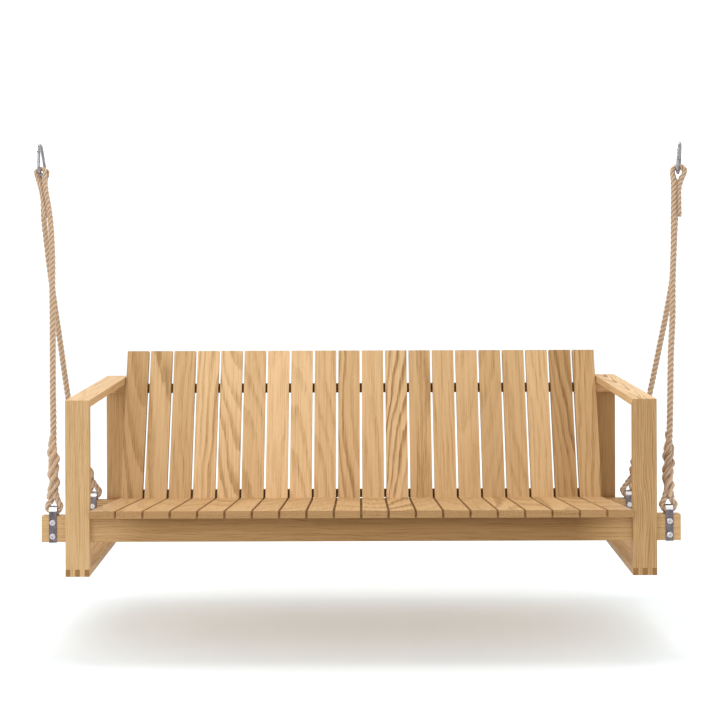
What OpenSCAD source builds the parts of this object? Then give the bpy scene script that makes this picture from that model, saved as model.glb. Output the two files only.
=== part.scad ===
// Porch swing: a slatted timber bench hung by four ropes from two snap hooks.
// Millimetres. +X runs along the bench, +Y to its back, +Z up.
// The origin lies midway between the seats of the two snap hooks.

/* [Side frames] */
// Thickness of every board in the bench
board_t = 20; // [18:1:21]
// Width of the posts, arms and runners
side_w = 66.5; // [60:0.5:70]
// Height of the side frames
frame_h = 490; // [470:5:510]
// Depth of the side frames
frame_d = 612; // [604:1:620]

/* [Beams] */
// Depth of the two load beams, top to bottom
beam_h = 72; // [68:1:76]
// Half length of the two load beams
beam_half = 893; // [885:1:900]

/* [Slats] */
// Clear gap between neighbouring slats
slat_gap = 7; // [5:0.5:9]
// Slope of the seat down towards the back, degrees
seat_slope = 7.4; // [7:0.1:8]
// Lean of the back from upright, degrees
back_lean = 17.5; // [17:0.1:18]
// Length of the back slats
back_len = 468; // [450:1:475]

/* [Ironwork] */
// Thickness of the beam straps
strap_t = 3; // [2:0.5:3]
// Width of the beam straps
strap_w = 21; // [18:1:21]
// Diameter of the wire of the snap hooks
wire_d = 9; // [8:0.5:9]

/* [Ropes] */
// Diameter of the ropes
rope_d = 18; // [14:1:18]

/* [Hidden] */
$fn = 48;

// where the hooks hang, in the bench's own frame
hang_y = 373;
hang_z = 1214;

// side frames
side_in = 755.5;
finger_n = 5;
finger_w = side_w / finger_n;
over = 1;

// beams, each as its lowest front corner
beam_t = 26;
front_beam_y = 20;
front_beam_z = 92;
rear_beam_y = frame_d - board_t - beam_t;
rear_beam_z = 22;

// slats
slat_n = 20;
slat_edge = 752.5;
slat_pitch = (2 * slat_edge + slat_gap) / slat_n;
slat_w = slat_pitch - slat_gap;
seat_len = 635;
seat_nose = [-20, 186];
seat_dir = [cos(seat_slope), -sin(seat_slope)];
seat_up = [sin(seat_slope), cos(seat_slope)];
foot_y = 447.5;
foot = seat_nose + (foot_y - seat_nose[0]) / cos(seat_slope) * seat_dir;
lean_dir = [sin(back_lean), cos(back_lean)];
lean_out = [cos(back_lean), -sin(back_lean)];
lean_tan = tan(back_lean);

// rails behind the back slats
low_rail_t = 25;
low_rail_h = 25;
top_rail_drop = 31.5;
top_rail_z = frame_h - board_t - top_rail_drop;
top_rail_h = 28;
top_rail_rear = frame_d - board_t;

// wood screws
screw_r = 2.25;
screw_fit = 0.05;
screw_head_r = 4.5;
screw_head_h = 2.5;
bury_r = 5;
seat_screw_l = 40;
front_screw_z = 132;
rear_screw_z = 60;
back_screw_l = 32;
low_screw_l = 38;
frame_screw_l = 40;
post_screw_l = 34;
frame_screw_x = [774, 804];

// straps and their bolts
strap_x = 861;
strap_rise = 11;
strap_r = beam_t / 2;
bolt_drop = [17, 55];
bolt_r = 4;
bolt_fit = 0.05;
bolt_head_r = 8;
bolt_head_h = 3;
bolt_dome_r = 5.5;
bolt_dome_h = 2;
socket_r = 3;
socket_deep = 3;
nut_r = 7.5;
nut_h = 6;
bolt_tail = 3;

// snap hooks: two arcs joined by straight arms
hook_x = 976;
hook_turn = [-8, -21];
hook_lean = 4;
wire_r = wire_d / 2;
low_r = 24;
top_r = 10;
hook_h = 57;
arm_a = asin((low_r - top_r) / hook_h);
arm_l = hook_h * cos(arm_a);
nose_l = 9;
gate_from = 9.7;
pivot_at = 42.4;
gate_to = 45.4;
slot_from = 36;
slot_half = 2;
tongue_half = 1.75;
tongue_r = 3.5;
neck_at = 48.5;
pin_r = 1.5;
pin_fit = 0.05;
pin_head_r = 2.5;
pin_head_h = 0.8;
pin_head_gap = 0.3;
arm_r = wire_r + 0.05;
arm_lap = 0.5;

// ropes: eyes at both ends, legs laid side by side
rope_r = rope_d / 2;
eye_tube = [6, 7.5];
low_eye_tube = 7.4;
lay_gap = 18.6;
throat_gap = 16;
lay_clear = 0.6;
top_eye_r = [14.2, 18.3];
top_eye_u = 8.8;
top_eye_drop = [5.5, 4];
low_eye_r = 18.6;
low_eye_rise = 8.7;
rope_sides = 10;
rope_pull = [[0, -0.3215, -0.9469], [0, 0.1857, -0.9826]];
splice_last = [0, 0.75];

// standing parts from the top eye down, x measured outwards
route_lf = [[957, -31, -124], [936, -61, -214], [922, -95, -314], [914, -129, -414], [905, -163, -514],
    [897, -197, -614], [889, -231, -714], [880, -265, -814], [872, -299, -914], [867, -319, -974],
    [869.6, -332, -1006]];
route_rf = [[954, -31, -124], [946, -61, -214], [937, -95, -314], [926, -129, -414], [917, -163, -514],
    [904, -197, -614], [894, -231, -714], [884, -265, -814], [872, -299, -914], [866, -319, -974],
    [869.6, -332, -1006]];
route_lr = [[978, 21, -124], [979, 38, -214], [973, 57, -314], [965, 76, -414], [956, 95, -514],
    [946, 114, -614], [937, 133, -714], [926, 152, -814], [904, 170, -914], [880, 189, -1014],
    [869.4, 203, -1076]];
route_rr = [[978, 21, -124], [975, 38, -214], [975, 57, -314], [973, 76, -414], [960, 95, -514],
    [944, 114, -614], [928, 133, -714], [911, 152, -814], [893, 170, -914], [880, 189, -1014],
    [869.4, 203, -1076]];

oak = [0.80, 0.62, 0.42];
oak_light = [0.87, 0.70, 0.50];
steel = [0.55, 0.55, 0.60];
bright = [0.75, 0.75, 0.78];
hemp = [0.74, 0.62, 0.47];

two = function(n) n < 10 ? str("0", n) : str(n);

// ---------- placing ----------

// from the bench's own frame to the part's frame
module bench() {
    translate([0, -hang_y, -hang_z])
    children();
}

// 1 is the right side, -1 the left
module on_side(s) {
    mirror([s < 0 ? 1 : 0, 0, 0])
    children();
}

// a prism along X over a profile in Y and Z
module yz_prism(x0, x1, pts) {
    translate([x0, 0, 0])
    rotate([90, 0, 90])
    linear_extrude(x1 - x0)
    polygon(pts);
}

// ---------- wood screws ----------

module screw(l) {
    cylinder(r = screw_head_r, h = screw_head_h);
    translate([0, 0, -l])
    cylinder(r = screw_r, h = l + over / 2);
}

module screw_bore(l) {
    translate([0, 0, -l])
    cylinder(r = screw_r + screw_fit, h = l + over);
}

// a slat screw comes up through a deep bore in a beam
module seat_places() {
    for (i = [0:slat_n - 1]) {
        x = slat_x(i) + slat_w / 2;
        translate([x, front_beam_y + beam_t / 2, front_screw_z])
        rotate([180, 0, 0])
        children();
        translate([x, rear_beam_y + beam_t / 2, rear_screw_z])
        rotate([180, 0, 0])
        children();
    }
}

module top_rail_places() {
    for (i = [0:slat_n - 1]) {
        translate([slat_x(i) + slat_w / 2, top_rail_rear, top_rail_z + top_rail_h / 2])
        rotate([-90, 0, 0])
        children();
    }
}

module low_rail_places() {
    for (i = [0:slat_n - 1]) {
        translate([slat_x(i) + slat_w / 2, low_screw[0], low_screw[1]])
        rotate([-90 - back_lean, 0, 0])
        children();
    }
}

// beam to post, two at each corner
module front_post_places() {
    for (s = [-1, 1], i = [0, 1]) {
        translate([s * frame_screw_x[i], front_beam_y + beam_t, front_beam_z + beam_h * (1 + 2 * i) / 4])
        rotate([-90, 0, 0])
        children();
    }
}

module rear_post_places() {
    for (s = [-1, 1], i = [0, 1]) {
        translate([s * frame_screw_x[i], rear_beam_y, rear_beam_z + beam_h * (1 + 2 * i) / 4])
        rotate([90, 0, 0])
        children();
    }
}

// back post to upper rail, from behind
module rail_post_places() {
    for (s = [-1, 1], i = [0, 1]) {
        translate([s * frame_screw_x[i], frame_d, top_rail_z + top_rail_h / 2])
        rotate([-90, 0, 0])
        children();
    }
}

// ---------- side frames ----------

// fingers at the foot, a mitre under the armrest; y_out is the outer face of the frame
module post(y_out, y_in) {
    difference() {
        yz_prism(side_in, side_in + side_w,
            [[y_out, 0], [y_in, 0], [y_in, frame_h - board_t], [y_out, frame_h]]);
        for (i = [0:2:finger_n - 1]) {
            translate([side_in + i * finger_w, min(y_out, y_in) - over, -over])
            cube([finger_w, board_t + 2 * over, board_t + over]);
        }
    }
}

module front_post(s) {
    color(oak)
    bench()
    difference() {
        on_side(s)
        post(0, board_t);
        front_post_places()
        screw_bore(frame_screw_l);
    }
}

module back_post(s) {
    color(oak)
    bench()
    difference() {
        on_side(s)
        post(frame_d, frame_d - board_t);
        rear_post_places()
        screw_bore(frame_screw_l);
        rail_post_places()
        screw_bore(post_screw_l);
    }
}

module armrest(s) {
    color(oak_light)
    bench()
    on_side(s)
    yz_prism(side_in, side_in + side_w, [[0, frame_h], [frame_d, frame_h],
        [frame_d - board_t, frame_h - board_t], [board_t, frame_h - board_t]]);
}

module runner(s) {
    color(oak)
    bench()
    on_side(s)
    difference() {
        translate([side_in, 0, 0])
        cube([side_w, frame_d, board_t]);
        for (i = [1:2:finger_n - 1], y = [-over, frame_d - board_t]) {
            translate([side_in + i * finger_w, y, -over])
            cube([finger_w, board_t + over, board_t + 2 * over]);
        }
    }
}

// ---------- beams and rails ----------

module front_beam_block() {
    translate([-beam_half, front_beam_y, front_beam_z])
    cube([2 * beam_half, beam_t, beam_h]);
}

module rear_beam_block() {
    translate([-beam_half, rear_beam_y, rear_beam_z])
    cube([2 * beam_half, beam_t, beam_h]);
}

module bury_bore(l) {
    screw_bore(l);
    cylinder(r = bury_r, h = beam_h);
}

module front_beam() {
    color(oak)
    bench()
    difference() {
        front_beam_block();
        seat_places()
        bury_bore(seat_screw_l);
        front_post_places()
        screw_bore(frame_screw_l);
        strap_places(0)
        bolt_bore();
    }
}

module rear_beam() {
    color(oak)
    bench()
    difference() {
        rear_beam_block();
        seat_places()
        bury_bore(seat_screw_l);
        rear_post_places()
        screw_bore(frame_screw_l);
        strap_places(1)
        bolt_bore();
    }
}

// y of the back slats' rear plane at a height
function lean_y(z) = foot[0] + board_t / cos(back_lean) + (z - foot[1]) * lean_tan;

module upper_back_rail() {
    z0 = top_rail_z;
    z1 = top_rail_z + top_rail_h;
    color(oak)
    bench()
    difference() {
        yz_prism(-side_in - side_w, side_in + side_w,
            [[lean_y(z0), z0], [top_rail_rear, z0], [top_rail_rear, z1], [lean_y(z1), z1]]);
        top_rail_places()
        screw_bore(back_screw_l);
        rail_post_places()
        screw_bore(post_screw_l);
    }
}

// how far along the back's lean the seat is met, at a distance behind its front face
function seat_hit(q) = -q * (lean_out * seat_up) / (lean_dir * seat_up);
function behind(q, up) = foot + q * lean_out + (seat_hit(q) + up) * lean_dir;
rail_q = board_t + low_rail_t;
low_screw = foot + rail_q * lean_out + ((seat_hit(board_t) + seat_hit(rail_q)) / 2 + low_rail_h / 2) * lean_dir;

module lower_back_rail() {
    color(oak)
    bench()
    difference() {
        yz_prism(-slat_edge, slat_edge, [behind(board_t, 0), behind(rail_q, 0),
            behind(rail_q, low_rail_h), behind(board_t, low_rail_h)]);
        low_rail_places()
        screw_bore(low_screw_l);
    }
}

// ---------- slats ----------

function slat_x(i) = -slat_edge + i * slat_pitch;

// the slat's underside is housed over both beams
module seat_slat(i) {
    end = seat_nose + seat_len * seat_dir;
    color(i % 3 == 1 ? oak_light : oak)
    bench()
    difference() {
        yz_prism(slat_x(i), slat_x(i) + slat_w,
            [seat_nose, end, end - board_t * seat_up, seat_nose - board_t * seat_up]);
        front_beam_block();
        rear_beam_block();
        seat_places()
        screw_bore(seat_screw_l);
    }
}

module back_slat(i) {
    color(i % 3 == 0 ? oak : oak_light)
    bench()
    difference() {
        yz_prism(slat_x(i), slat_x(i) + slat_w, [foot, behind(board_t, 0),
            foot + board_t * lean_out + back_len * lean_dir, foot + back_len * lean_dir]);
        top_rail_places()
        screw_bore(back_screw_l);
        low_rail_places()
        screw_bore(low_screw_l);
    }
}

module back_pair(i) {
    back_slat(i);
    back_slat(i + 1);
}

module seat_screws() {
    color(bright)
    bench()
    seat_places()
    screw(seat_screw_l);
}

module back_screws() {
    color(bright)
    bench() {
        top_rail_places()
        screw(back_screw_l);
        low_rail_places()
        screw(low_screw_l);
    }
}

module frame_screws() {
    color(bright)
    bench() {
        front_post_places()
        screw(frame_screw_l);
        rear_post_places()
        screw(frame_screw_l);
        rail_post_places()
        screw(post_screw_l);
    }
}

// ---------- straps ----------

// centre of a beam's top edge; 0 is the front beam, 1 the rear
function beam_mid(b) = [b == 0 ? front_beam_y + beam_t / 2 : rear_beam_y + beam_t / 2,
    (b == 0 ? front_beam_z : rear_beam_z) + beam_h];

// a bolt's frame has its head at +Z and its tail at -Z, through the middle of the beam
module bolts_of(s, b) {
    for (drop = bolt_drop) {
        translate([s * strap_x, beam_mid(b)[0], beam_mid(b)[1] - drop])
        rotate([90, 0, 0])
        children();
    }
}

module strap_places(b) {
    bolts_of(-1, b)
    children();
    bolts_of(1, b)
    children();
}

module bolt_bore() {
    half = strap_r + strap_t + over;
    translate([0, 0, -half])
    cylinder(r = bolt_r + bolt_fit, h = 2 * half);
}

module strap(s, b) {
    plate_h = strap_rise + beam_h + over;
    color(steel)
    bench()
    difference() {
        translate([s * strap_x, beam_mid(b)[0], beam_mid(b)[1] + strap_rise]) {
            rotate([90, 0, 90])
            rotate_extrude(angle = 180, $fn = 64)
            translate([strap_r, -strap_w / 2])
            square([strap_t, strap_w]);
            for (y = [-strap_r - strap_t, strap_r]) {
                translate([-strap_w / 2, y, -plate_h])
                cube([strap_w, strap_t, plate_h]);
            }
        }
        bolts_of(s, b)
        bolt_bore();
    }
}

module bolt() {
    face = strap_r + strap_t;
    difference() {
        union() {
            translate([0, 0, -face - nut_h - bolt_tail])
            cylinder(r = bolt_r, h = 2 * face + nut_h + bolt_tail);
            translate([0, 0, face])
            cylinder(r = bolt_head_r, h = bolt_head_h);
            translate([0, 0, face + bolt_head_h])
            cylinder(r1 = bolt_head_r, r2 = bolt_dome_r, h = bolt_dome_h);
        }
        translate([0, 0, face + bolt_head_h + bolt_dome_h - socket_deep])
        cylinder(r = socket_r, h = socket_deep + over, $fn = 6);
    }
}

module nut() {
    face = strap_r + strap_t;
    difference() {
        translate([0, 0, -face - nut_h])
        cylinder(r = nut_r, h = nut_h, $fn = 6);
        translate([0, 0, -face - nut_h - over])
        cylinder(r = bolt_r + bolt_fit, h = nut_h + 2 * over);
    }
}

module strap_bolts() {
    color(bright)
    bench() {
        strap_places(0)
        bolt();
        strap_places(1)
        bolt();
    }
}

module strap_nuts() {
    color(bright)
    bench() {
        strap_places(0)
        nut();
        strap_places(1)
        nut();
    }
}

// ---------- snap hooks ----------

// the hook lies in its own YZ plane, gate arm at -Y, seat at the origin;
// the pull of the ropes leans its top outwards
module hook_frame(k) {
    s = k == 0 ? -1 : 1;
    translate([s * hook_x, 0, -hook_h])
    rotate([0, s * hook_lean, 0])
    rotate([0, 0, hook_turn[k]])
    translate([0, 0, hook_h])
    children();
}

// +Z runs up the gate arm from the end of the lower arc
module gate_arm() {
    translate([0, -low_r * cos(arm_a), low_r * sin(arm_a) - hook_h])
    rotate([-arm_a, 0, 0])
    children();
}

module spine_arm() {
    translate([0, low_r * cos(arm_a), low_r * sin(arm_a) - hook_h])
    rotate([arm_a, 0, 0])
    children();
}

module wire_arc(r, from, sweep) {
    rotate([90, 0, 90])
    rotate([0, 0, from])
    rotate_extrude(angle = sweep, $fn = 96)
    translate([r, 0])
    circle(r = wire_r, $fn = 48);
}

module pivot_bore(r) {
    translate([-wire_r - over, 0, pivot_at])
    rotate([0, 90, 0])
    cylinder(r = r, h = 2 * (wire_r + over));
}

module carabiner(k) {
    color(bright)
    hook_frame(k) {
        translate([0, 0, -hook_h])
        wire_arc(low_r, 180 - arm_a, 180 + 2 * arm_a);
        wire_arc(top_r, arm_a, 180 - 2 * arm_a);
        spine_arm()
        translate([0, 0, -arm_lap])
        cylinder(r = arm_r, h = arm_l + 2 * arm_lap);
        gate_arm()
        translate([0, 0, -arm_lap])
        cylinder(r = arm_r, h = nose_l + arm_lap);
        gate_arm()
        translate([0, 0, neck_at])
        cylinder(r = arm_r, h = arm_l - neck_at + arm_lap);
        gate_arm()
        difference() {
            union() {
                translate([-tongue_half, -tongue_r, pivot_at])
                cube([2 * tongue_half, 2 * tongue_r, neck_at - pivot_at + arm_lap]);
                translate([-tongue_half, 0, pivot_at])
                rotate([0, 90, 0])
                cylinder(r = tongue_r, h = 2 * tongue_half);
            }
            pivot_bore(pin_r + pin_fit);
        }
    }
}

module gate(k) {
    color(steel)
    hook_frame(k)
    gate_arm()
    difference() {
        translate([0, 0, gate_from])
        cylinder(r = wire_r, h = gate_to - gate_from);
        translate([-slot_half, -wire_r - over, slot_from])
        cube([2 * slot_half, 2 * (wire_r + over), gate_to - slot_from + over]);
        pivot_bore(pin_r + pin_fit);
    }
}

module rivet() {
    reach = wire_r + pin_head_gap;
    translate([-reach - pin_head_h, 0, pivot_at])
    rotate([0, 90, 0]) {
        cylinder(r = pin_r, h = 2 * (reach + pin_head_h));
        cylinder(r = pin_head_r, h = pin_head_h);
        translate([0, 0, 2 * reach + pin_head_h])
        cylinder(r = pin_head_r, h = pin_head_h);
    }
}

module gate_rivets() {
    color(bright)
    for (k = [0, 1]) {
        hook_frame(k)
        gate_arm()
        rivet();
    }
}

// ---------- ropes ----------

function unit(v) = v / norm(v);
function spline(a, b, c, d, t) = 0.5 * (2 * b + t * (c - a) + t * t * (2 * a - 5 * b + 4 * c - d)
    + t * t * t * (3 * b - a - 3 * c + d));

// a route with one spline point between each two of its own
function dense(p) = let (n = len(p) - 1) [for (i = [0:n]) each i == n ? [p[i]]
    : [p[i], spline(p[max(i - 1, 0)], p[i], p[i + 1], p[min(i + 2, n)], 0.5)]];

// half circle about c from -e to +e through c - d
function half_turn(c, r, e, d) = [for (f = [-90:30:90]) c + r * (sin(f) * e - cos(f) * d)];

// a point of a hook's own frame about its lower bend, turned and leaned outwards
function leaned(p) = [p[0] * cos(hook_lean) + p[2] * sin(hook_lean), p[1],
    p[2] * cos(hook_lean) - p[0] * sin(hook_lean)];
function hooked(p, turn) = leaned([p[0] * cos(turn) - p[1] * sin(turn), p[0] * sin(turn) + p[1] * cos(turn), p[2]]);

// b is 0 for a front rope and 1 for a rear one; k is 0 on the left and 1 on the right
function out_turn(k) = k == 0 ? -hook_turn[0] : hook_turn[1];
function top_crown(b, k) = [hook_x, 0, -hook_h]
    + hooked([0, (b == 0 ? -1 : 1) * top_eye_u, -top_eye_drop[k]], out_turn(k));

function top_eye(b, k) = let (
        d = rope_pull[b],
        raw = hooked([1, 0, 0], out_turn(k)),
        e = unit(raw - (raw * d) * d),
        standing = b == 0 ? -1 : 1,
        r = top_eye_r[k]
    ) half_turn(top_crown(b, k) + r * d, r, standing * e, d);

function low_eye(b) = let (m = beam_mid(b))
    half_turn([strap_x, m[0] - hang_y, m[1] - hang_z + low_eye_rise + low_eye_r], low_eye_r, [1, 0, 0], [0, 0, 1]);

// tail end, lower eye, standing part, upper eye, tail end
function rope_line(b, k, route) = let (
        n = len(route) - 1,
        low_tail = [-lay_gap, 0, 0],
        top_gap = rope_r + eye_tube[k] + lay_clear,
        top_tail = b == 0 ? [top_gap, 0, 0] : [0, top_gap, 0],
        top = top_eye(b, k),
        up = [for (i = [6:-1:0]) top[i]]
    ) concat(
        [splice_last[b] * route[n - 2] + (1 - splice_last[b]) * route[n - 3] + low_tail],
        [route[n - 2] + low_tail, route[n - 1] + low_tail, route[n] - [throat_gap, 0, 0]],
        low_eye(b),
        dense([for (i = [n:-1:0]) route[i]]),
        up,
        [route[0] + top_tail, (route[0] + route[1]) / 2 + top_tail, route[1] + top_tail]
    );

// rings in the eyes are a little thinner, where the rope is pressed flat, and so is the upper tail
function tube_r(i, n, k) = i >= 3 && i <= 11 ? low_eye_tube : i >= n - 10 ? eye_tube[k] : rope_r;

function ring(p, t, r) = let (
        a = unit(cross(t, [0, 1, 0])),
        c = cross(t, a)
    ) [for (j = [0:rope_sides - 1]) let (w = 360 * j / rope_sides) p + r * (cos(w) * a + sin(w) * c)];

module tube(p, k) {
    n = len(p);
    m = rope_sides;
    rings = [for (i = [0:n - 1]) each ring(p[i], unit(p[min(i + 1, n - 1)] - p[max(i - 1, 0)]), tube_r(i, n, k))];
    sides = [for (i = [0:n - 2], j = [0:m - 1]) let (a = i * m + j, b = i * m + (j + 1) % m)
        each [[a, a + m, b + m], [a, b + m, b]]];
    polyhedron(points = rings, faces = concat([[for (j = [0:m - 1]) j]], sides,
        [[for (j = [m - 1:-1:0]) (n - 1) * m + j]]));
}

module rope(s, b) {
    k = s < 0 ? 0 : 1;
    route = s < 0 ? (b == 0 ? route_lf : route_lr) : (b == 0 ? route_rf : route_rr);
    color(hemp)
    on_side(s)
    tube(rope_line(b, k, route), k);
}

// ---------- pieces ----------

front_post(-1);  // left_front_post
back_post(-1);  // left_back_post
armrest(-1);  // left_armrest
runner(-1);  // left_runner
front_post(1);  // right_front_post
back_post(1);  // right_back_post
armrest(1);  // right_armrest
runner(1);  // right_runner
front_beam();
rear_beam();
upper_back_rail();
lower_back_rail();
for (i = [1:slat_n]) seat_slat(i - 1);
for (i = [1:2:slat_n]) back_pair(i - 1);
strap(-1, 0);  // left_front_strap
strap(-1, 1);  // left_rear_strap
strap(1, 0);  // right_front_strap
strap(1, 1);  // right_rear_strap
strap_bolts();
strap_nuts();
seat_screws();
back_screws();
frame_screws();
carabiner(0);  // left_carabiner
carabiner(1);  // right_carabiner
gate(0);  // left_gate
gate(1);  // right_gate
gate_rivets();
rope(-1, 0);  // left_front_rope
rope(-1, 1);  // left_rear_rope
rope(1, 0);  // right_front_rope
rope(1, 1);  // right_rear_rope
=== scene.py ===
"""Porch swing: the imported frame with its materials, ropes laid strand by strand, floor, lights and camera."""
import math

import bpy
import numpy as np
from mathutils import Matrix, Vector


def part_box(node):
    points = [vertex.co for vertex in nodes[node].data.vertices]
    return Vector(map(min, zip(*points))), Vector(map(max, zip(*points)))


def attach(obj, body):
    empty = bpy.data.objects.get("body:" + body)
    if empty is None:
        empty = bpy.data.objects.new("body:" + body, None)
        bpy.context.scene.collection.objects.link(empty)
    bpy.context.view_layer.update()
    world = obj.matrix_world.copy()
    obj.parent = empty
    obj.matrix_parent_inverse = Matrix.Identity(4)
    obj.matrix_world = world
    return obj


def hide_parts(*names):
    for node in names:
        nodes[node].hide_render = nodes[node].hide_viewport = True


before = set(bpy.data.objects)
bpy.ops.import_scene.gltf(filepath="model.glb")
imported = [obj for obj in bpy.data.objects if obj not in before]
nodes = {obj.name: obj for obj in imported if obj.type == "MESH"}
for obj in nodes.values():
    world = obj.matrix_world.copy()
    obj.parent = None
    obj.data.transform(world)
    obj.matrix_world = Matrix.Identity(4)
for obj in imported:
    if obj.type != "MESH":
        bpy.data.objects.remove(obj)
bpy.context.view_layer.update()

scene = bpy.context.scene

# ---------- camera ----------

cam_data = bpy.data.cameras.new("camera")
cam_data.sensor_width = 36
cam_data.lens = 65
cam_data.shift_x = -0.0004
cam_data.shift_y = -0.1830
cam_data.clip_end = 60
camera = bpy.data.objects.new("camera", cam_data)
camera.location = (0, -3.985, -0.2476)
camera.rotation_euler = (math.radians(90), math.radians(0.18), 0)
scene.collection.objects.link(camera)
scene.camera = camera
scene.view_settings.view_transform = "Standard"

# ---------- rope routes, as in the CAD ----------

HOOK_X = 0.976
HOOK_H = 0.057
HOOK_LEAN = math.radians(4)
HOOK_TURN = {"left": math.radians(8), "right": math.radians(-21)}
ROPE_R = 0.009
EYE_TUBE = {"left": 0.006, "right": 0.0075}
LAY_CLEAR = 0.0006
TOP_EYE_R = {"left": 0.0142, "right": 0.0183}
TOP_EYE_U = 0.0088
TOP_EYE_DROP = {"left": 0.0055, "right": 0.004}
LOW_EYE_R = 0.0186
LOW_EYE_TUBE = 0.0074
THROAT_GAP = 0.016
LOW_EYE_AT = {"front": (0.861, -0.340, -1.0227), "rear": (0.861, 0.206, -1.0927)}
PULL = {"front": (0, -0.3215, -0.9469), "rear": (0, 0.1857, -0.9826)}
# the standing parts from the upper eye down, in millimetres, with x measured outwards
ROUTES = {
    ("left", "front"): [
        (957, -31, -124), (936, -61, -214), (922, -95, -314), (914, -129, -414),
        (905, -163, -514), (897, -197, -614), (889, -231, -714), (880, -265, -814),
        (872, -299, -914), (867, -319, -974), (869.6, -332, -1006),
    ],
    ("right", "front"): [
        (954, -31, -124), (946, -61, -214), (937, -95, -314), (926, -129, -414),
        (917, -163, -514), (904, -197, -614), (894, -231, -714), (884, -265, -814),
        (872, -299, -914), (866, -319, -974), (869.6, -332, -1006),
    ],
    ("left", "rear"): [
        (978, 21, -124), (979, 38, -214), (973, 57, -314), (965, 76, -414),
        (956, 95, -514), (946, 114, -614), (937, 133, -714), (926, 152, -814),
        (904, 170, -914), (880, 189, -1014), (869.4, 203, -1076),
    ],
    ("right", "rear"): [
        (978, 21, -124), (975, 38, -214), (975, 57, -314), (973, 76, -414),
        (960, 95, -514), (944, 114, -614), (928, 133, -714), (911, 152, -814),
        (893, 170, -914), (880, 189, -1014), (869.4, 203, -1076),
    ],
}


def unit(v):
    return v / np.linalg.norm(v)


def hooked(p, turn):
    """A point of a hook's own frame about its lower bend, turned and leaned outwards."""
    x = p[0] * math.cos(turn) - p[1] * math.sin(turn)
    y = p[0] * math.sin(turn) + p[1] * math.cos(turn)
    c, s = math.cos(HOOK_LEAN), math.sin(HOOK_LEAN)
    return np.array([x * c + p[2] * s, y, p[2] * c - x * s])


def half_turn(c, r, e, d, steps=6):
    """Half a circle about c from -e to +e, by way of c - d."""
    out = []
    for i in range(steps + 1):
        f = -math.pi / 2 + math.pi * i / steps
        out.append(c + r * (math.sin(f) * e - math.cos(f) * d))
    return out


def rope_points(side, end):
    """Control points of one rope on the right-hand side: lower eye, standing part, upper eye."""
    route = [np.array(p) / 1000 for p in ROUTES[side, end]]
    low = half_turn(np.array(LOW_EYE_AT[end]), LOW_EYE_R, np.array([1.0, 0, 0]), np.array([0, 0, 1.0]))
    way = -1 if end == "front" else 1
    turn = HOOK_TURN[side]
    crown = np.array([HOOK_X, 0, -HOOK_H]) + hooked((0, way * TOP_EYE_U, -TOP_EYE_DROP[side]), turn)
    d = np.array(PULL[end])
    raw = hooked((1, 0, 0), turn)
    e = unit(raw - raw.dot(d) * d)
    r = TOP_EYE_R[side]
    top = half_turn(crown + r * d, r, way * e, d)[::-1]
    return low, route[::-1], top


# points worked out between two of a route's own
SPLINE_FINE = 24


def spline(points, step):
    """A Catmull-Rom line through the points, sampled every step of its length."""
    p = np.array(points)
    p = np.vstack([2 * p[0] - p[1], p, 2 * p[-1] - p[-2]])
    fine = []
    for i in range(1, len(p) - 2):
        a, b, c, d = p[i - 1:i + 3]
        for t in np.linspace(0, 1, SPLINE_FINE, endpoint=False):
            fine.append(0.5 * (2 * b + t * (c - a) + t * t * (2 * a - 5 * b + 4 * c - d)
                               + t ** 3 * (3 * b - a - 3 * c + d)))
    fine.append(p[-2])
    fine = np.array(fine)
    s = np.concatenate([[0], np.cumsum(np.linalg.norm(np.diff(fine, axis=0), axis=1))])
    n = max(2, int(round(s[-1] / step)))
    at = np.linspace(0, s[-1], n + 1)
    return np.stack([np.interp(at, s, fine[:, k]) for k in range(3)], axis=1), at


def normals(p):
    """Two normals at each point of a line, carried along it without twist."""
    t = np.gradient(p, axis=0)
    t /= np.linalg.norm(t, axis=1)[:, None]
    a = np.cross(t[0], (0, 1, 0))
    a = unit(a if np.linalg.norm(a) > 1e-3 else np.cross(t[0], (1, 0, 0)))
    out = []
    for k in range(len(p)):
        a = unit(a - a.dot(t[k]) * t[k])
        out.append((a, np.cross(t[k], a)))
    return out


def mesh_piece(name, verts, faces, uvs, material):
    """A smooth mesh object with a UV layer for the lay."""
    me = bpy.data.meshes.new(name)
    me.from_pydata([tuple(v) for v in verts], [], faces)
    layer = me.uv_layers.new(name="lay")
    loops = np.array([v for f in faces for v in f])
    layer.data.foreach_set("uv", np.array(uvs)[loops].astype(np.float32).ravel())
    me.polygons.foreach_set("use_smooth", [True] * len(me.polygons))
    me.materials.append(material)
    me.validate()
    o = bpy.data.objects.new(name, me)
    scene.collection.objects.link(o)
    return o


def loft(name, rings, along, round_uv, material, centre):
    """A closed skin over rings of equal count; round_uv holds each point's place round the rope, 0 to 1."""
    n, m = len(rings), len(rings[0])
    verts = [v for r in rings for v in r]
    uvs = [(along[i], round_uv[j]) for i in range(n) for j in range(m)]
    faces = []
    for i in range(n - 1):
        for j in range(m):
            k = (j + 1) % m
            faces.append((i * m + j, i * m + k, (i + 1) * m + k, (i + 1) * m + j))
    for i, c in ((0, centre[0]), (n - 1, centre[-1])):
        verts.append(c)
        uvs.append((along[i], 0.5))
        q = len(verts) - 1
        for j in range(m):
            k = (j + 1) % m
            faces.append((q, i * m + k, i * m + j) if i == 0 else (q, i * m + j, i * m + k))
    return mesh_piece(name, verts, faces, uvs, material)


# the lay of the rope: one turn of it, its strands, the spacing of the drawn rings and the points round each
LAY_LENGTH = 0.048
STRANDS = 3
RING_STEP = 0.0034
ROUND = 30
# a strand's own middle and radius, as shares of the rope's radius
STRAND_OFF = 0.40
STRAND_R = 0.60


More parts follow.
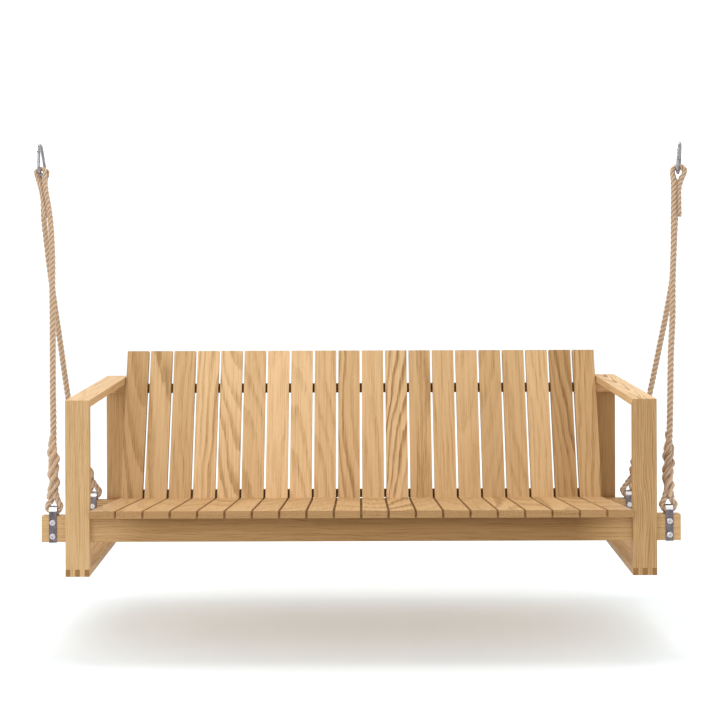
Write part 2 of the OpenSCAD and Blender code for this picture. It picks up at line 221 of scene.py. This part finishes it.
def lay_profile(theta):
    """Radius of three strands lying together, as a share of the rope's, at an angle from the first."""
    third = 2 * math.pi / STRANDS
    a = (theta + third / 2) % third - third / 2
    return STRAND_OFF * math.cos(a) + math.sqrt(STRAND_R ** 2 - (STRAND_OFF * math.sin(a)) ** 2)


def laid_rope(p, s, radius):
    """Rings of three-strand rope round a line: the section turns as s goes."""
    sides = normals(p)
    rings = []
    for k in range(len(p)):
        a, b = sides[k]
        turn = 2 * math.pi * s[k] / LAY_LENGTH
        ring = []
        for j in range(ROUND):
            w = 2 * math.pi * j / ROUND
            r = radius[k] * lay_profile(w)
            ring.append(p[k] + r * (math.cos(w + turn) * a + math.sin(w + turn) * b))
        rings.append(ring)
    return rings


def flip(o):
    """Mirror a right-hand piece to the left, keeping its faces outwards."""
    me = o.data
    co = np.empty(len(me.vertices) * 3)
    me.vertices.foreach_get("co", co)
    co[0::3] *= -1
    me.vertices.foreach_set("co", co)
    me.flip_normals()
    me.update()


# ---------- node materials ----------


class Graph:
    """Short names for building a node tree."""

    def __init__(self, name):
        self.mat = bpy.data.materials.new(name)
        self.mat.use_nodes = True
        self.tree = self.mat.node_tree
        self.shader = self.tree.nodes["Principled BSDF"]

    def node(self, kind, *inputs, **props):
        n = self.tree.nodes.new(kind)
        for k, v in props.items():
            setattr(n, k, v)
        for i, v in enumerate(inputs):
            self.put(n.inputs[i], v)
        return n

    def put(self, socket, v):
        if isinstance(v, bpy.types.NodeSocket):
            self.tree.links.new(v, socket)
        elif v is not None:
            socket.default_value = v

    def math(self, op, a, b=None, c=None, clamp=False):
        return self.node("ShaderNodeMath", a, b, c, operation=op, use_clamp=clamp).outputs[0]

    def within(self, f, span):
        """From the first number of span at f = 0, rising by the second at f = 1."""
        return self.math("MULTIPLY_ADD", f, span[1], span[0])

    def here(self):
        """A point's place in the model, in metres."""
        return self.node("ShaderNodeTexCoord").outputs["Object"]

    def dot(self, v, d):
        return self.node("ShaderNodeVectorMath", v, tuple(d), operation="DOT_PRODUCT").outputs["Value"]

    def xyz(self, x, y, z):
        return self.node("ShaderNodeCombineXYZ", x, y, z).outputs[0]

    def noise(self, v, scale, detail=2.0, rough=0.5):
        n = self.node("ShaderNodeTexNoise")
        self.put(n.inputs["Vector"], v)
        n.inputs["Scale"].default_value = scale
        n.inputs["Detail"].default_value = detail
        n.inputs["Roughness"].default_value = rough
        return n.outputs["Fac"]

    def ramp(self, f, stops, ease="LINEAR"):
        n = self.node("ShaderNodeValToRGB", f)
        n.color_ramp.interpolation = ease
        e = n.color_ramp.elements
        while len(e) < len(stops):
            e.new(0.5)
        for el, (pos, col) in zip(e, stops):
            el.position = pos
            el.color = (col, col, col, 1) if isinstance(col, (int, float)) else (*col, 1)
        return n.outputs[0]

    def mix(self, f, a, b, blend="MIX"):
        n = self.tree.nodes.new("ShaderNodeMix")
        n.data_type = "RGBA"
        n.blend_type = blend
        for i, v in ((0, f), (6, a), (7, b)):
            if isinstance(v, tuple) and len(v) == 3:
                v = (*v, 1)
            self.put(n.inputs[i], v)
        return n.outputs[2]

    def tinted(self, f, colour, tint):
        """A colour multiplied by a tint, as far as f says."""
        return self.mix(f, colour, self.mix(1.0, colour, tint, "MULTIPLY"))

    def toned(self, level):
        """The tint that a board's tone makes."""
        return self.xyz(level, self.math("POWER", level, TONE_GREEN), self.math("POWER", level, TONE_BLUE))

    def bump(self, height, strength, distance):
        n = self.node("ShaderNodeBump")
        n.inputs["Strength"].default_value = strength
        n.inputs["Distance"].default_value = distance
        self.put(n.inputs["Height"], height)
        self.put(self.shader.inputs["Normal"], n.outputs[0])


OAK_LIGHT = (0.650, 0.428, 0.218)
OAK_MID = (0.525, 0.326, 0.148)
OAK_DARK = (0.250, 0.126, 0.045)
# tints of the redder boards, of end grain, and of the painted shade in the slots behind the back slats
REDDER = (1.02, 0.96, 0.90)
END_GRAIN = (0.54, 0.44, 0.34)
SLOT_PAINTED_SHADE = (0.24, 0.18, 0.12)
# how strongly end grain darkens, unless a board says otherwise
END_DARK = 0.37
# darker boards are also redder: a tone acts on green and blue more than on red
TONE_GREEN = 1.24
TONE_BLUE = 1.64
# how a board is cut: the spacing of its growth rings, and where the pith lies across it and below it and how
# far that leans, each as (least, spread)
RING = 0.0041
PITH_ACROSS = (-0.10, 0.20)
PITH_BELOW = (0.030, 0.08)
PITH_LEAN = (-0.040, 0.080)
PITH_BOW = 0.018
PITH_WAVES = (1.3, 1.7)
LOG_LENGTH = 9.0
WANDER = 0.060
CUT_SHIFT = 0.37
# marks drawn out along a board, as their scales across and along it
FIBRES = (120.0, 3.0)
FIBRE_PUSH = 0.0016
PORES = (800.0, 30.0)
STREAKS = (270.0, 6.0)
# how dark one growth ring is, from its start to its end
RING_LINE = ((0.0, 0.0), (0.40, 0.08), (0.76, 0.95), (0.90, 1.0), (1.0, 0.0))
# how strongly a board's rings show, and each year's, as (least, spread)
BOARD_MARKED = (0.17, 0.46)
YEAR_MARKED = (0.55, 0.9)
# how far streaks, years and pores darken the wood, and how pores show across a ring, as (least, spread)
STREAK_DARK = 1.5
YEAR_DARK = 0.06
PORE_DARK = 0.28
PORE_LINE = (0.3, 0.7)
# how the boards without tones of their own vary, as (least, spread), and the most that a board is reddened
TONE_VARIES = (0.94, 0.12)
REDDEST = 0.30
# roughness of the wood from pale to dark, as (least, spread)
OAK_ROUGH = (0.52, 0.20)
# a beam's tone falls towards its upper edge, painted shade under the seat's front edge, and from left to right;
# the ends past the side frames have a paler tone of their own, as the stretch between them is painted darker
# for the shade under the seat
UNDER_SHADE_FROM = (-0.010, 0.022)
UNDER_PAINTED_SHADE = 0.80
BEAM_FADE = -0.24
BEAM_LEVEL = 0.95
TIP_FROM = (0.60, 0.77)


def board_middle(name):
    """Middle of the board a material is named after."""
    lo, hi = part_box(name.removesuffix("_oak"))
    return Vector([(u + v) / 2 for u, v in zip(lo, hi)])


def beam_level(g, up, run, tone, tips):
    """A beam's tone: paler tips at the ends that stick out, and under the seat a stretch painted darker as
    shade, darkest along the upper edge.
    """
    rise = g.math("DIVIDE", g.math("SUBTRACT", up, UNDER_SHADE_FROM[0]), UNDER_SHADE_FROM[1] - UNDER_SHADE_FROM[0], clamp=True)
    under = g.math("MULTIPLY_ADD", rise, UNDER_PAINTED_SHADE - 1.0, 1.0)
    under = g.math("MULTIPLY", under, g.math("MULTIPLY_ADD", run, BEAM_FADE, BEAM_LEVEL))
    inner = g.math("MULTIPLY", under, tone)
    tip = g.ramp(g.math("ABSOLUTE", run), [(TIP_FROM[0], 0.0), (TIP_FROM[1], 1.0)])
    return g.math("MULTIPLY_ADD", tip, g.math("SUBTRACT", tips, inner), inner)


def oak(name, along, across, seed, cells=None, tone=1.0, tones=None, ends=END_DARK, hidden=False, tips=None):
    """Sawn oak as a solid: growth rings about a pith line beside the board, with pores and streaks along it.

    cells = (start, pitch) gives each board across it a cut of its own, and tones gives each its own tone.
    ends says how strongly end grain darkens, tips is the tone of a beam's ends, clear of the painted shade
    under the seat, and hidden paints shade on the face behind the slats.
    """
    g = Graph(name)
    coord = g.node("ShaderNodeTexCoord")
    p, normal = coord.outputs["Object"], coord.outputs["Normal"]
    along, across = Vector(along).normalized(), Vector(across).normalized()
    through = along.cross(across)
    place, a, t = g.dot(p, along), g.dot(p, across), g.dot(p, through)
    if cells:
        start, pitch = cells
        index = g.math("FLOOR", g.math("DIVIDE", g.math("SUBTRACT", a, start), pitch))
        a = g.math("SUBTRACT", a, g.math("MULTIPLY_ADD", index, pitch, start + pitch / 2))
        pick = g.node("ShaderNodeTexWhiteNoise", noise_dimensions="1D")
        g.put(pick.inputs["W"], g.math("ADD", index, seed + CUT_SHIFT))
        rand = g.node("ShaderNodeSeparateColor", pick.outputs["Color"])
        r0, r1, r2 = rand.outputs[0], rand.outputs[1], rand.outputs[2]
        r3 = pick.outputs["Value"]
    else:
        rng = np.random.default_rng(seed)
        r0, r1, r2, r3 = (float(x) for x in rng.random(4))
        middle = board_middle(name)
        a = g.math("SUBTRACT", a, middle.dot(across))
        t = g.math("SUBTRACT", t, middle.dot(through))
    # each board starts somewhere else in the log
    run = g.math("MULTIPLY_ADD", r3, LOG_LENGTH, place)

    def drawn(scales, detail, rough=0.5):
        """Noise drawn out along the board."""
        fine, long = scales
        at = g.xyz(g.math("MULTIPLY", a, fine), g.math("MULTIPLY", t, fine), g.math("MULTIPLY", run, long))
        return g.noise(at, 1.0, detail, rough)

    def wave(k):
        """A slow bend of the pith."""
        return g.math("SINE", g.math("MULTIPLY", run, PITH_WAVES[k]))

    # a slow wander of the fibres
    wander = g.noise(g.xyz(g.math("MULTIPLY", a, 3.0), g.math("MULTIPLY", t, 3.0), run), 3.1, 2.0)
    wander = g.math("MULTIPLY", g.math("SUBTRACT", wander, 0.5), WANDER)
    # where the pith runs: to one side across, and some way below
    pith_a = g.math("MULTIPLY_ADD", wave(0), g.within(r2, PITH_LEAN), g.within(r0, PITH_ACROSS))
    pith_t = g.math("MULTIPLY_ADD", wave(1), PITH_BOW, g.within(r1, PITH_BELOW))
    from_pith = g.xyz(g.math("ADD", g.math("SUBTRACT", a, pith_a), wander), g.math("ADD", t, pith_t), 0.0)
    ring = g.node("ShaderNodeVectorMath", from_pith, operation="LENGTH").outputs["Value"]
    ring = g.math("MULTIPLY_ADD", drawn(FIBRES, 3.0, 0.6), FIBRE_PUSH, ring)
    grow = g.math("FRACT", g.math("DIVIDE", ring, RING))
    line = g.ramp(grow, RING_LINE, "EASE")
    # years differ: some rings are much stronger than others, and so are some boards
    years = g.noise(g.xyz(g.math("MULTIPLY", ring, 140.0), 3.1, g.math("MULTIPLY", run, 0.3)), 1.0, 2.0)
    years = g.ramp(years, [(0.35, 0.0), (0.68, 1.0)])
    marked = g.within(g.math("POWER", r3, 2.5), BOARD_MARKED)
    rings = g.math("MULTIPLY", marked, g.math("MULTIPLY", line, g.within(years, YEAR_MARKED)))
    pores = g.ramp(drawn(PORES, 1.0), [(0.55, 0.0), (0.68, 1.0)])
    streak = drawn(STREAKS, 3.0, 0.65)
    dark = g.math("MULTIPLY_ADD", g.math("SUBTRACT", streak, 0.5), STREAK_DARK, rings)
    dark = g.math("MULTIPLY_ADD", years, YEAR_DARK, dark)
    # pores show most along the dark line of each ring
    dense = g.within(line, PORE_LINE)
    dark = g.math("MULTIPLY_ADD", g.math("MULTIPLY", pores, dense), PORE_DARK, dark)
    colour = g.ramp(dark, [(0.0, OAK_LIGHT), (0.36, OAK_MID), (1.0, OAK_DARK)])
    # each board lighter or darker, and some redder
    if tones:
        level = g.ramp(g.math("DIVIDE", g.math("ADD", index, 0.5), float(len(tones))),
                       [(i / len(tones), q * tone) for i, q in enumerate(tones)], "CONSTANT")
        shade = g.toned(g.node("ShaderNodeSeparateColor", level).outputs[0])
    elif cells:
        shade = g.toned(g.within(r3, [k * tone for k in TONE_VARIES]))
    elif tips:
        shade = g.toned(beam_level(g, a, place, tone, tips))
    else:
        shade = (tone, tone ** TONE_GREEN, tone ** TONE_BLUE)
    colour = g.mix(1.0, colour, shade, "MULTIPLY")
    colour = g.tinted(g.math("MULTIPLY", r2, REDDEST), colour, REDDER)
    # end grain drinks more oil
    end = g.ramp(g.math("ABSOLUTE", g.dot(normal, along)), [(0.80, 0.0), (0.97, 1.0)])
    colour = g.tinted(g.math("MULTIPLY", end, ends), colour, END_GRAIN)
    if hidden:
        # painted shade in the slots between the slats: the rails' front faces behind them are darkened
        front = g.ramp(g.dot(normal, (0, -1, 0)), [(0.5, 0.0), (0.8, 1.0)])
        inner = g.math("LESS_THAN", g.math("ABSOLUTE", g.dot(p, (1, 0, 0))), SLAT_EDGE - SLOT_SHADE_INSET)
        colour = g.tinted(g.math("MULTIPLY", front, inner), colour, SLOT_PAINTED_SHADE)
    g.put(g.shader.inputs["Base Color"], colour)
    g.put(g.shader.inputs["Roughness"], g.within(dark, OAK_ROUGH))
    g.shader.inputs["Specular IOR Level"].default_value = 0.18
    height = g.math("ADD", g.math("MULTIPLY", dark, -0.5), g.math("MULTIPLY", pores, -0.5))
    g.bump(height, 0.35, 0.0005)
    return g.mat


HEMP_DARK = (0.36, 0.235, 0.145)
HEMP_MID = (0.60, 0.425, 0.285)
HEMP_PALE = (0.78, 0.595, 0.425)
# colour of the painted shade in the grooves between the strands
HEMP_GROOVE_SHADE = (0.16, 0.095, 0.055)
HEMP_PATCH = (0.90, 0.84, 0.76)


def rope_material():
    """Hemp: yarns at a slant along each strand, fine hairs, and painted shade in the grooves between the
    strands.
    """
    g = Graph("laid_rope")
    uv = g.node("ShaderNodeUVMap", uv_map="lay").outputs[0]
    part = g.node("ShaderNodeSeparateXYZ", uv)
    u, v = part.outputs[0], part.outputs[1]
    p = g.here()
    # yarns lie along the rope, so they cross the strand at a slant
    slant = g.math("MULTIPLY_ADD", u, 1.0 / LAY_LENGTH, v)
    angle = g.math("MULTIPLY", slant, 2 * math.pi)
    circle = g.xyz(g.math("COSINE", angle), g.math("SINE", angle), g.math("MULTIPLY", u, 14.0))
    yarn = g.noise(circle, 9.0, 3.0, 0.65)
    fine = g.noise(p, 900.0, 3.0, 0.7)
    patch = g.noise(p, 26.0, 2.0)
    # painted shade: strands are darkened in the grooves between them
    groove_shade = g.math("ABSOLUTE", g.math("SUBTRACT", g.math("FRACT", g.math("MULTIPLY_ADD", v, 3.0, 0.5)), 0.5))
    groove_shade = g.ramp(groove_shade, [(0.0, 0.0), (0.30, 0.12), (0.50, 1.0)])
    body = g.math("ADD", g.math("MULTIPLY", yarn, 0.7), g.math("MULTIPLY_ADD", fine, 0.35, -0.02))
    colour = g.ramp(body, [(0.30, HEMP_DARK), (0.50, HEMP_MID), (0.72, HEMP_PALE)])
    colour = g.mix(g.math("MULTIPLY", groove_shade, 0.75), colour, HEMP_GROOVE_SHADE)
    colour = g.tinted(g.math("MULTIPLY", patch, 0.35), colour, HEMP_PATCH)
    g.put(g.shader.inputs["Base Color"], colour)
    g.shader.inputs["Roughness"].default_value = 0.86
    g.shader.inputs["Specular IOR Level"].default_value = 0.2
    g.shader.inputs["Sheen Weight"].default_value = 0.25
    g.shader.inputs["Sheen Roughness"].default_value = 0.5
    g.bump(g.math("ADD", yarn, g.math("MULTIPLY", fine, 0.4)), 0.6, 0.0010)
    return g.mat


# how far a metal's roughness varies about its own
ROUGH_SPREAD = 0.22


def metal(g, marks_at, fine, patchy, rough):
    """Bare metal's gloss and marks; returns its clouding, and the mix of both that colours it."""
    marks = g.noise(marks_at, fine, 3.0, 0.6)
    cloud = g.noise(g.here(), patchy, 3.0, 0.6)
    mixed = g.math("MULTIPLY_ADD", marks, 0.5, g.math("MULTIPLY", cloud, 0.5))
    g.shader.inputs["Metallic"].default_value = 1.0
    g.put(g.shader.inputs["Roughness"], g.math("MULTIPLY_ADD", mixed, ROUGH_SPREAD, rough - ROUGH_SPREAD / 2))
    g.bump(marks, 0.12, 0.0002)
    return cloud, mixed


def steel(name, low, high, rough, fine):
    """Metal between two colours; fine is the scale of its marks."""
    g = Graph(name)
    mixed = metal(g, g.here(), fine, 60.0, rough)[1]
    g.put(g.shader.inputs["Base Color"], g.ramp(mixed, [(0.35, low), (0.65, high)]))
    return g.mat


# ---------- the wood ----------

SEAT_SLOPE = math.radians(7.4)
LEAN = math.radians(17.5)
SLAT_EDGE = 0.7525
SLAT_PITCH = 0.0756
SLAT_GAP = 0.007
# how far inside the outer slats' edges the painted shade on the rails stops
SLOT_SHADE_INSET = 0.004
# a slat and half the gap on each side of it
CELLS = (-SLAT_EDGE - SLAT_GAP / 2, SLAT_PITCH)

# tones of the back slats from left to right
BACK_TONES = (0.80, 0.95, 0.90, 1.10, 1.10, 1.00, 1.15, 1.10, 1.00, 0.95,
              1.00, 1.05, 0.90, 0.95, 0.95, 0.85, 0.90, 1.00, 0.70, 0.85)
# the front beam's low tone stands for painted shade under the seat; its ends take the paler tone in TIPS
BOARD_TONES = {"left_front_post": 0.92, "right_front_post": 0.78, "front_beam": 0.56, "rear_beam": 0.72,
               "left_back_post": 0.88, "right_back_post": 0.62, "left_runner": 0.92, "right_runner": 0.88,
               "left_armrest": 1.02, "right_armrest": 1.12}
SEAT_TONE = 0.88
BACK_TONE = 1.06
# how strongly end grain darkens on some boards
ENDS = {"armrest": 0.11, "runner": 1.0}
SEAT_ENDS = 0.56
# tones of the beams' ends past the side frames, clear of the painted shade under the seat
TIPS = {"front_beam": 0.92, "rear_beam": 0.92}
# the way each board's grain runs, and the way across it
UPRIGHT = ((0, 0, 1), (1, 0, 0))
BACKWARDS = ((0, 1, 0), (1, 0, 0))
SIDEWAYS = ((1, 0, 0), (0, 0, 1))
SIDE_GRAIN = {"front_post": UPRIGHT, "back_post": UPRIGHT, "armrest": BACKWARDS, "runner": BACKWARDS}
# each board's seed is its own, so that no two are cut alike
SEAT_SEED = 3
BACK_SEED = 40
FIRST_SEED = 11
SEED_STEP = 7

seat_oak = oak("seat_oak", (0, math.cos(SEAT_SLOPE), -math.sin(SEAT_SLOPE)), (1, 0, 0), SEAT_SEED, CELLS,
               SEAT_TONE, ends=SEAT_ENDS)
back_oak = oak("back_oak", (0, math.sin(LEAN), math.cos(LEAN)), (1, 0, 0), BACK_SEED, CELLS,
               BACK_TONE, BACK_TONES)
grain = {f"{side}_{n}": axes for side in ("left", "right") for n, axes in SIDE_GRAIN.items()}
for n in ("front_beam", "rear_beam", "upper_back_rail", "lower_back_rail"):
    grain[n] = SIDEWAYS
boards = {}
for k, (n, (along, across)) in enumerate(sorted(grain.items())):
    boards[n] = oak(f"{n}_oak", along, across, FIRST_SEED + SEED_STEP * k, tone=BOARD_TONES.get(n, 1.0),
                    ends=ENDS.get(n.split("_")[1], END_DARK), hidden=n.endswith("rail"), tips=TIPS.get(n))
for n in nodes:
    if n.startswith("seat_slat"):
        boards[n] = seat_oak
    if n.startswith("back_slats"):
        boards[n] = back_oak

# how far edges are eased on each kind of piece, and the least turn that counts as an edge
WOOD_EASE = 0.0012
STRAP_EASE = 0.0004
BOLT_EASE = 0.0005
WIRE_EASE = 0.0003
EASE_ANGLE = math.radians(40)


def finish_node(o, material, width):
    """A node's material, and its sharp edges eased."""
    for s in o.material_slots:
        s.material = material
    if not o.material_slots:
        o.data.materials.append(material)
    m = o.modifiers.new("eased", "BEVEL")
    m.width = width
    m.segments = 2
    m.limit_method = "ANGLE"
    m.angle_limit = EASE_ANGLE


for n, material in boards.items():
    finish_node(nodes[n], material, WOOD_EASE)

# ---------- the ironwork ----------

STRAP_DARK = (0.102, 0.087, 0.095)
STRAP_PALE = (0.291, 0.256, 0.268)
STRAP_HIGHLIGHT = (0.90, 0.90, 0.91)
# the painted highlight on the bend of a strap: how bright it is at each height over the beam's top, in
# thirtieths of a metre
HIGHLIGHT_SCALE = 30.0
HIGHLIGHT_BAND = [(0.36, 0.0), (0.46, 1.0), (0.74, 1.0), (0.79, 0.0)]
# how far the edge of the painted highlight strays, as (least, spread)
HIGHLIGHT_STRAY = (-0.003, 0.006)
FRONT_BEAM_TOP = -1.050
REAR_BEAM_TOP = -1.120


def strap_finish(name, beam_top):
    """Dull rolled steel, with a painted highlight over the bend where the rope pulls."""
    g = Graph(name)
    p = g.here()
    drawn = g.node("ShaderNodeVectorMath", p, (1.0, 1.0, 0.06), operation="MULTIPLY").outputs[0]
    cloud, mixed = metal(g, drawn, 900.0, 70.0, 0.35)
    plate = g.ramp(mixed, [(0.36, STRAP_DARK), (0.64, STRAP_PALE)])
    stray = g.within(cloud, (HIGHLIGHT_STRAY[0] - beam_top, HIGHLIGHT_STRAY[1]))
    height = g.math("ADD", g.dot(p, (0, 0, 1)), stray)
    highlight = g.ramp(g.math("MULTIPLY", height, HIGHLIGHT_SCALE), HIGHLIGHT_BAND)
    # the bend is painted bright as a highlight
    g.put(g.shader.inputs["Base Color"], g.mix(highlight, plate, STRAP_HIGHLIGHT))
    return g.mat


strap_steel = {"front": strap_finish("front_strap_steel", FRONT_BEAM_TOP),
               "rear": strap_finish("rear_strap_steel", REAR_BEAM_TOP)}
bolt_steel = steel("bolt_steel", (0.46, 0.45, 0.48), (0.78, 0.77, 0.79), 0.24, 300.0)
hook_steel = steel("hook_steel", (0.20, 0.20, 0.21), (0.46, 0.46, 0.48), 0.22, 240.0)
screw_zinc = steel("screw_zinc", (0.50, 0.49, 0.46), (0.70, 0.69, 0.66), 0.32, 400.0)
for n in nodes:
    if n.endswith("_strap"):
        finish_node(nodes[n], strap_steel[n.split("_")[1]], STRAP_EASE)
    elif n in ("strap_bolts", "strap_nuts"):
        finish_node(nodes[n], bolt_steel, BOLT_EASE)
    elif n.endswith("_screws"):
        finish_node(nodes[n], screw_zinc, WIRE_EASE)
    elif n.endswith(("_carabiner", "_gate")) or n == "gate_rivets":
        finish_node(nodes[n], hook_steel, WIRE_EASE)

# ---------- the ropes ----------

rope_mat = rope_material()
# the drawn strands touch the rope's size only along their backs
FULL = 1.05
# where the lower tail starts: up the standing part from its foot, and inwards of it
TAIL_UP = 0.034
TAIL_IN = 0.005
# the upper tail closes in on the standing part half way down
TAIL_CLOSE = 0.95
# rings over which the rope thins into an eye
EYE_EASE = 12
# rings over which the lower tail's end tapers, and the share of its size it starts from
TAPER_RINGS = 8
TAPER_FROM = 0.55
# a lower eye's legs swell a few rings past its half circle
SWELL = 0.0010
SWELL_PAST = 5
SWELL_OVER = 6.0
# the splice above a lower eye, and the strands tucked round the standing part there
LOW_SPLICE = 0.186
TUCK_RING = 0.0028
TUCK_ROUND = 14
TUCK_PITCH = 0.098
TUCK_STEP = 0.037
TUCK_APART = 0.41
TUCK_START = 0.9
TUCK_OUT = 0.0100
TUCK_LIFT = 0.0016
TUCK_R = 0.0065
TUCK_SWELL = 0.0007
# each tucked strand is shorter than the one before it by this share of the splice
TUCK_SHORTER = 0.10
# how far a tucked strand sinks in at its end, and the share of its length where that starts
TUCK_DIP = 0.25
TUCK_DIP_FROM = 0.80


def tucks(side, end, route, hand):
    """Three strands of the tail tucked round the standing part above the lower eye."""
    base, s = spline(route[:5], TUCK_RING)
    count = int(LOW_SPLICE / TUCK_RING) + 1
    base, s = base[:count], s[:count]
    sides = normals(base)
    spin = [2 * math.pi * j / TUCK_ROUND for j in range(TUCK_ROUND)]
    uv_round = [j / TUCK_ROUND / STRANDS - 0.5 / STRANDS for j in range(TUCK_ROUND)]
    out = []
    for q in range(STRANDS):
        last = int((len(base) - 1) * (1 - TUCK_SHORTER * q))
        path, rad = [], []
        for k in range(last + 1):
            f = k / last
            turn = hand * 2 * math.pi * (q / STRANDS + s[k] / TUCK_PITCH) + TUCK_START
            lift = math.cos(2 * math.pi * (s[k] / TUCK_STEP + q * TUCK_APART))
            reach = (TUCK_OUT + TUCK_LIFT * lift) * min(1.0, 0.80 + 2 * f)
            reach *= 1 - TUCK_DIP * max(0.0, (f - TUCK_DIP_FROM) / (1 - TUCK_DIP_FROM))
            a, b = sides[k]
            path.append(base[k] + reach * (math.cos(turn) * a + math.sin(turn) * b))
            rad.append((TUCK_R + TUCK_SWELL * lift) * min(1.0, 0.75 + 3 * f, 0.55 + 5 * (1 - f)))
        path = np.array(path)
        rings = [[c + r * (math.cos(w) * a + math.sin(w) * b) for w in spin]
                 for c, r, (a, b) in zip(path, rad, normals(path))]
        name = f"{side}_{end}_rope_tuck_{q + 1}"
        out.append(loft(name, rings, hand * s[:last + 1], uv_round, rope_mat, path))
    return out


def rope(side, end):
    """One rope as six pieces: its line with both eyes, two tails and three tucked strands."""
    low, route, top = rope_points(side, end)
    eye_tube = EYE_TUBE[side]
    beside = (ROPE_R + eye_tube + LAY_CLEAR) * np.array([1.0, 0, 0] if end == "front" else [0, 1.0, 0])
    tail = [route[-1] + beside, 0.5 * (route[-1] + route[-2]) + TAIL_CLOSE * beside, route[-2] + beside]
    under = [route[0] + TAIL_UP * unit(route[1] - route[0]) - (TAIL_IN, 0, 0),
             route[0] - (THROAT_GAP, 0, 0)]
    whole = under + low + route + top + tail
    p, s = spline(whole, RING_STEP)
    # a left-hand rope is mirrored at the end, so it is laid the other way round here
    hand = -1 if side == "left" else 1

    def nearest(q):
        """The sample of the line nearest to a point."""
        return int(np.argmin(np.linalg.norm(p - q, axis=1)))

    first, last = nearest(low[3]), nearest(top[3])
    low_end, top_start = nearest(low[6]), nearest(top[0])
    step = np.arange(len(p))
    up = np.clip((step - low_end - EYE_EASE / 2) / EYE_EASE, 0, 1)
    high = 1 - np.clip((top_start - step) / EYE_EASE, 0, 1)
    legs = (low_end + SWELL_PAST, 2 * first - low_end - SWELL_PAST)
    swell = sum(np.exp(-((step - k) / SWELL_OVER) ** 2) for k in legs)
    radius = LOW_EYE_TUBE + (ROPE_R - LOW_EYE_TUBE) * up - (ROPE_R - eye_tube) * high + SWELL * swell
    radius *= FULL
    radius[:TAPER_RINGS] *= np.linspace(TAPER_FROM, 1, TAPER_RINGS)
    rings = laid_rope(p, hand * s, radius)
    uv_round = [j / ROUND for j in range(ROUND)]
    out = []
    for name, i, j in (("line", first, last), ("top_tail", last, len(p) - 1), ("low_tail", 0, first)):
        part = slice(i, j + 1)
        name = f"{side}_{end}_rope_{name}"
        out.append(loft(name, rings[part], hand * s[part], uv_round, rope_mat, p[part]))
    out += tucks(side, end, route, hand)
    for o in out:
        if side == "left":
            flip(o)
        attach(o, "swing")
    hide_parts(f"{side}_{end}_rope")
    path = p[first:last + 1].copy()
    if side == "left":
        path[:, 0] *= -1


for side in ("left", "right"):
    for end in ("front", "rear"):
        rope(side, end)

# ---------- floor, backdrop and light ----------

FLOOR_Z = -1.448
FLOOR_FRONT = -1.4
FLOOR_BACK = 60
FLOOR_SIDE = 40
FLOOR_TINTS = ((0.91, 0.965, 0.99), (0.93, 0.98, 1.0))


def stage_floor():
    """A pale floor from in front of the swing out to the horizon behind it."""
    me = bpy.data.meshes.new("floor")
    corners = [(-FLOOR_SIDE, FLOOR_FRONT, FLOOR_Z), (FLOOR_SIDE, FLOOR_FRONT, FLOOR_Z),
               (FLOOR_SIDE, FLOOR_BACK, FLOOR_Z), (-FLOOR_SIDE, FLOOR_BACK, FLOOR_Z)]
    me.from_pydata(corners, [], [(0, 1, 2, 3)])
    o = bpy.data.objects.new("floor", me)
    scene.collection.objects.link(o)
    g = Graph("studio_floor")
    pale = g.ramp(g.noise(g.here(), 4.0, 2.0), [(0.3, FLOOR_TINTS[0]), (0.7, FLOOR_TINTS[1])])
    g.put(g.shader.inputs["Base Color"], pale)
    g.shader.inputs["Roughness"].default_value = 0.9
    g.shader.inputs["Specular IOR Level"].default_value = 0.0
    me.materials.append(g.mat)


stage_floor()

# a white room, brightest behind the swing, and a little brighter above and to the left
SKY_LEVEL = 1.07
SKY_TILT = (-0.09, 0.24, 0.06)
world = bpy.data.worlds.new("studio")
scene.world = world
world.use_nodes = True
tree = world.node_tree
sky = tree.nodes["Background"]
sky.inputs[0].default_value = (1, 1, 1, 1)
way = tree.nodes.new("ShaderNodeTexCoord").outputs["Generated"]
tilt = tree.nodes.new("ShaderNodeVectorMath")
tilt.operation = "DOT_PRODUCT"
tilt.inputs[1].default_value = SKY_TILT
tree.links.new(way, tilt.inputs[0])
level = tree.nodes.new("ShaderNodeMath")
level.operation = "ADD"
level.inputs[1].default_value = SKY_LEVEL
tree.links.new(tilt.outputs["Value"], level.inputs[0])
tree.links.new(level.outputs[0], sky.inputs[1])


def area(name, at, to, size, power):
    """A rectangular white light at one point, aimed at another."""
    data = bpy.data.lights.new(name, "AREA")
    data.shape = "RECTANGLE"
    data.size, data.size_y = size
    data.energy = power
    o = bpy.data.objects.new(name, data)
    o.location = at
    o.rotation_euler = (Vector(to) - Vector(at)).to_track_quat("-Z", "Y").to_euler()
    scene.collection.objects.link(o)


area("front_soft", (-1.4, -3.4, 1.2), (-0.1, 0.0, -0.9), (2.0, 1.5), 30)
area("top_soft", (0.0, 0.0, 4.0), (0.0, 0.0, 0.0), (1.8, 1.0), 55)
